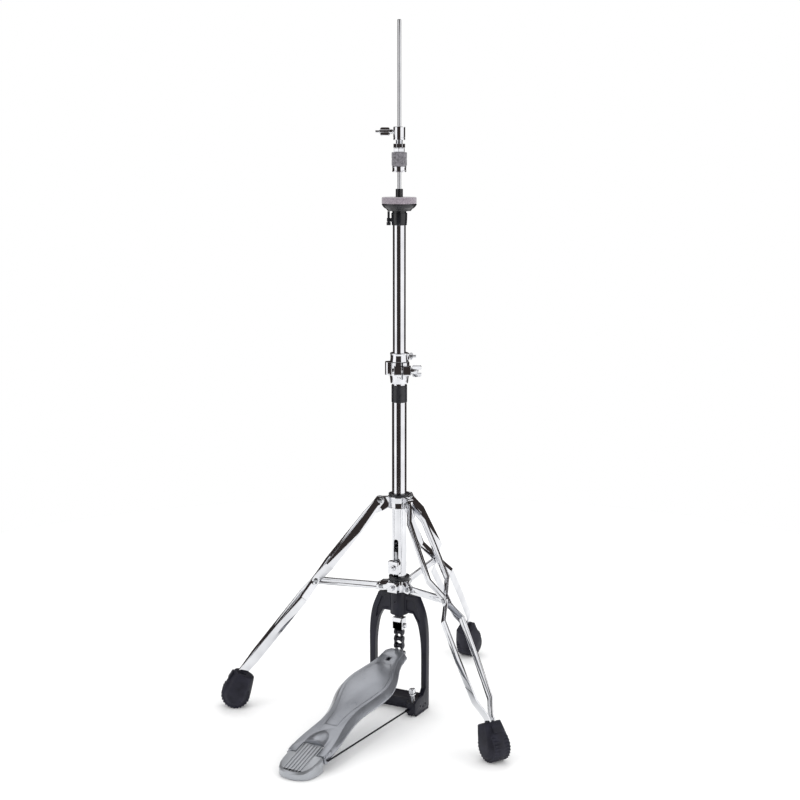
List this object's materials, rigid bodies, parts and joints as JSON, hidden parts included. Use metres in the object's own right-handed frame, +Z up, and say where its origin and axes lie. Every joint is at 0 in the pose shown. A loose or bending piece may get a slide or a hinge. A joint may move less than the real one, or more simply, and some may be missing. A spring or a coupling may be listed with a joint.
{
  "type": "hi-hat stand",
  "caption": "Folding tripod hi-hat stand with foot pedal, chain drive, sprung pull rod, telescopic column, tilting cymbal seat and top clutch.",
  "frame": {"origin": "on the floor under the column's axis, on the underside of the frame's rubber pad", "axes": "+Z up along the column, -Y from the column to the heel of the pedal, +X to the player's right when facing the column from the heel"},
  "size_m": [0.555, 0.6835, 1.191],
  "materials": {
    "chrome": "mirror-bright chrome plate",
    "black_cast": "satin black powder coat",
    "silver_cast": "silver-grey painted die casting",
    "dark_steel": "oil-blackened steel",
    "steel": "bright steel",
    "black_plastic": "smooth black moulded plastic",
    "black_band": "matt black sleeve",
    "dark_felt": "pressed grey felt",
    "light_felt": "pressed mauve-grey felt",
    "rubber": "matt black rubber"
  },
  "bodies": {
    "stand": {"base_frame": "black_cast", "base_pads": "rubber", "hub_set_screw": "dark_steel", "rod_guide_bush": "black_plastic", "lower_tube": "chrome", "tube_band": "black_band", "heel_plate": "silver_cast", "heel_hinge_pin": "steel", "radius_rods": "dark_steel", "clamp_body": "chrome", "clamp_bolt": "chrome", "clamp_liner": "black_plastic"},
    "wing_nut": {"clamp_wing_nut": "chrome"},
    "pedal": {"footboard": "silver_cast", "toe_bracket": "black_cast", "toe_pin": "steel"},
    "rod": {"upper_pull_rod": "chrome", "rod_coupler": "steel", "lower_pull_rod": "steel", "spring_retainer": "steel", "chain_clevis": "chrome", "clevis_screw": "chrome", "return_spring": "steel"},
    "chain": {"chain_plates": "dark_steel", "chain_rollers": "dark_steel"},
    "clutch": {"clutch_body": "chrome", "clutch_nuts": "chrome", "clutch_felts": "dark_felt"},
    "clutch_wing": {"clutch_wing_screw": "chrome"},
    "upper_column": {"upper_tube": "chrome", "seat_housing": "black_plastic"},
    "memory_ring": {"memory_lock": "chrome"},
    "memory_wing": {"memory_lock_screw": "chrome"},
    "seat": {"seat_cup": "black_plastic", "seat_sleeve": "black_plastic", "seat_felt": "light_felt"},
    "seat_screw": {"seat_tilt_screw": "black_plastic"},
    "tensioner": {"tension_block": "chrome", "tension_screw": "chrome", "spring_seat": "steel"},
    "tripod_hub": {"lower_collar": "chrome", "lower_collar_bush": "black_plastic", "lower_collar_rivets": "steel", "swivel_lock_screw": "chrome"},
    "tripod_slider": {"upper_collar": "chrome", "upper_collar_bush": "black_plastic"},
    "left_spur": {"spur_left": "chrome"},
    "right_spur": {"spur_right": "chrome"},
    "stay_arm_left": {"stay_left": "chrome"},
    "leg_arm_left": {"leg_left": "chrome", "foot_left": "rubber", "leg_rivets_left": "steel"},
    "stay_arm_right": {"stay_right": "chrome"},
    "leg_arm_right": {"leg_right": "chrome", "foot_right": "rubber", "leg_rivets_right": "steel"},
    "stay_arm_back": {"stay_back": "chrome"},
    "leg_arm_back": {"leg_back": "chrome", "foot_back": "rubber", "leg_rivets_back": "steel"}
  },
  "joints": [
    {"name": "footboard_press", "type": "hinge", "parent": "stand", "child": "pedal", "pos_m": [0, -0.312, 0.019], "axis": [-1, 0, 0], "range_deg": [0, 4.6]},
    {"name": "rod_pull", "type": "slide", "parent": "stand", "child": "rod", "axis": [0, 0, -1], "range_m": [0, 0.02559], "stiffness_N_per_m": 1500, "springref_m": -0.02, "deforming": ["return_spring"]},
    {"name": "chain_swing", "type": "hinge", "parent": "rod", "child": "chain", "pos_m": [0, 0, 0.147], "axis": [1, 0, 0], "range_deg": [0, 5.88]},
    {"name": "clutch_height", "type": "slide", "parent": "rod", "child": "clutch", "axis": [0, 0, 1], "range_m": [0, 0.12]},
    {"name": "clutch_wing_turn", "type": "hinge", "parent": "clutch", "child": "clutch_wing", "pos_m": [0, 0, 1.008], "axis": [-0.8829, -0.4695, 0], "range_deg": [-360, 0]},
    {"name": "height_adjust", "type": "slide", "parent": "stand", "child": "upper_column", "axis": [0, 0, 1], "range_m": [-0.11, 0]},
    {"name": "memory_ring_slide", "type": "slide", "parent": "upper_column", "child": "memory_ring", "axis": [0, 0, 1], "range_m": [0, 0.11]},
    {"name": "memory_wing_turn", "type": "hinge", "parent": "memory_ring", "child": "memory_wing", "pos_m": [0, 0, 0.628], "axis": [0.8829, 0.4695, 0], "range_deg": [-360, 0]},
    {"name": "clamp_nut_turn", "type": "hinge", "parent": "stand", "child": "wing_nut", "pos_m": [0.00845, -0.01589, 0.605], "axis": [0.8829, 0.4695, 0], "range_deg": [-360, 0]},
    {"name": "tilt_screw_turn", "type": "hinge", "parent": "upper_column", "child": "seat_screw", "pos_m": [-0.01589, -0.00845, 0], "axis": [0, 0, 1], "range_deg": [0, 360]},
    {"name": "seat_tilt", "type": "hinge", "parent": "upper_column", "child": "seat", "pos_m": [0, 0, 0.893], "axis": [-0.4695, 0.8829, 0], "range_deg": [0, 4.2]},
    {"name": "spring_tension", "type": "slide", "parent": "stand", "child": "tensioner", "axis": [0, 0, 1], "range_m": [0, 0.02]},
    {"name": "tripod_swivel", "type": "hinge", "parent": "stand", "child": "tripod_hub", "pos_m": [0, 0, 0.2215], "axis": [0, 0, 1], "range_deg": [-15, 15]},
    {"name": "tripod_fold", "type": "slide", "parent": "tripod_hub", "child": "tripod_slider", "axis": [0, 0, 1], "range_m": [0, 0.1329]},
    {"name": "stay_swing_left", "type": "hinge", "parent": "tripod_hub", "child": "stay_arm_left", "pos_m": [-0.02858, -0.0165, 0.22], "axis": [-0.5, 0.866, 0], "range_deg": [0, 65.61]},
    {"name": "leg_swing_left", "type": "hinge", "parent": "stay_arm_left", "child": "leg_arm_left", "pos_m": [-0.12731, -0.0735, 0.231], "axis": [-0.5, 0.866, 0], "range_deg": [-92.43, 0]},
    {"name": "stay_swing_right", "type": "hinge", "parent": "tripod_hub", "child": "stay_arm_right", "pos_m": [0.02858, -0.0165, 0.22], "axis": [-0.5, -0.866, 0], "range_deg": [0, 65.61]},
    {"name": "leg_swing_right", "type": "hinge", "parent": "stay_arm_right", "child": "leg_arm_right", "pos_m": [0.12731, -0.0735, 0.231], "axis": [-0.5, -0.866, 0], "range_deg": [-92.43, 0]},
    {"name": "stay_swing_back", "type": "hinge", "parent": "tripod_hub", "child": "stay_arm_back", "pos_m": [0, 0.033, 0.22], "axis": [1, 0, 0], "range_deg": [0, 65.61]},
    {"name": "leg_swing_back", "type": "hinge", "parent": "stay_arm_back", "child": "leg_arm_back", "pos_m": [0, 0.147, 0.231], "axis": [1, 0, 0], "range_deg": [-92.43, 0]},
    {"name": "spur_height_left", "type": "slide", "parent": "stand", "child": "left_spur", "axis": [0.1204, 0, 0.9927], "range_m": [0, 0.01]},
    {"name": "spur_height_right", "type": "slide", "parent": "stand", "child": "right_spur", "axis": [-0.1204, 0, 0.9927], "range_m": [0, 0.01]}
  ],
  "couplings": [
    {"joint": "rod_pull", "follows": "footboard_press", "m_per_rad": 0.31807},
    {"joint": "chain_swing", "follows": "footboard_press", "ratio": 1.2739},
    {"joint": "memory_ring_slide", "follows": "height_adjust", "ratio": -1},
    {"joint": "tilt_screw_turn", "follows": "seat_tilt", "ratio": 85.706},
    {"joint": "stay_swing_left", "follows": "tripod_fold", "rad_per_m": 8.6159},
    {"joint": "leg_swing_left", "follows": "tripod_fold", "rad_per_m": -12.138},
    {"joint": "stay_swing_right", "follows": "tripod_fold", "rad_per_m": 8.6159},
    {"joint": "leg_swing_right", "follows": "tripod_fold", "rad_per_m": -12.138},
    {"joint": "stay_swing_back", "follows": "tripod_fold", "rad_per_m": 8.6159},
    {"joint": "leg_swing_back", "follows": "tripod_fold", "rad_per_m": -12.138}
  ]
}
